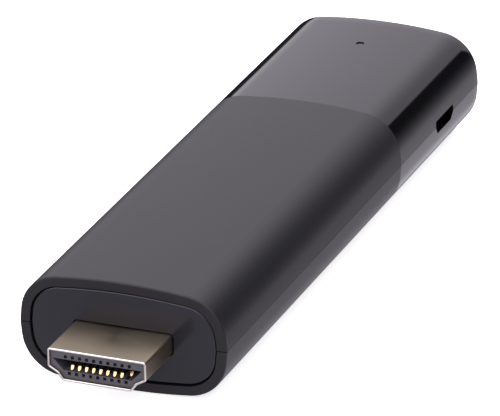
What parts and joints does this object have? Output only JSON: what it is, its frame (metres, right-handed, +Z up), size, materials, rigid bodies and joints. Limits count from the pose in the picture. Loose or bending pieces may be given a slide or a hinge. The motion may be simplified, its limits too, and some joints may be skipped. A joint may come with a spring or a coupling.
{
  "type": "streaming media player stick",
  "caption": "Slim rounded stick with a male HDMI plug on one end, a glossy tail with a status light, and a micro-USB power socket in one side.",
  "frame": {"origin": "centre of the footprint of the whole stick, plug included, at the lowest line of the lower shell", "axes": "+Y from the HDMI plug's nose to the closed tail, +Z up through the status light, +X to the side with the micro-USB socket"},
  "size_m": [0.0294, 0.1068, 0.0154],
  "materials": {
    "matte_case": "fine sparked texture, charcoal grey",
    "gloss_case": "polished black",
    "end_plate": "semi-gloss dark grey",
    "plug_nickel": "nickel-plated steel, smooth",
    "socket_nickel": "nickel-plated steel, smooth",
    "connector_plastic": "glass-filled black nylon",
    "contact_gold": "gold-plated copper alloy",
    "board": "green solder mask on glass-epoxy",
    "chip_epoxy": "black moulding compound",
    "crystal_can": "plated lid",
    "ferrite": "ferrite compound",
    "ceramic": "tan ceramic",
    "led_package": "white package",
    "light_pipe": "smoked acrylic",
    "shield_steel": "tin-plated steel",
    "thermal_pad": "soft blue-grey silicone",
    "spreader_aluminium": "brushed sheet",
    "aerial_metal": "plated copper alloy",
    "screw_steel": "zinc-plated steel"
  },
  "bodies": {
    "root": {"upper_shell": "matte_case", "lower_shell": "matte_case", "upper_tail_cover": "gloss_case", "lower_tail_cover": "gloss_case", "end_plate": "end_plate", "plug_shell": "plug_nickel", "plug_insulator": "connector_plastic", "plug_upper_contacts": "contact_gold", "plug_lower_contacts": "contact_gold", "main_board": "board", "usb_shell": "socket_nickel", "usb_insulator": "connector_plastic", "usb_contacts": "contact_gold", "status_led": "led_package", "light_pipe": "light_pipe", "processor": "chip_epoxy", "memory_chip": "chip_epoxy", "storage_chip": "chip_epoxy", "radio_chip": "chip_epoxy", "power_chip": "chip_epoxy", "crystal": "crystal_can", "surge_chips": "chip_epoxy", "inductors": "ferrite", "capacitors": "ceramic", "main_shield_frame": "shield_steel", "main_shield_lid": "shield_steel", "radio_shield_frame": "shield_steel", "radio_shield_lid": "shield_steel", "processor_pad": "thermal_pad", "upper_pad": "thermal_pad", "lower_pad": "thermal_pad", "upper_spreader": "spreader_aluminium", "lower_spreader": "spreader_aluminium", "aerials": "aerial_metal", "board_screws": "screw_steel"}
  },
  "joints": []
}
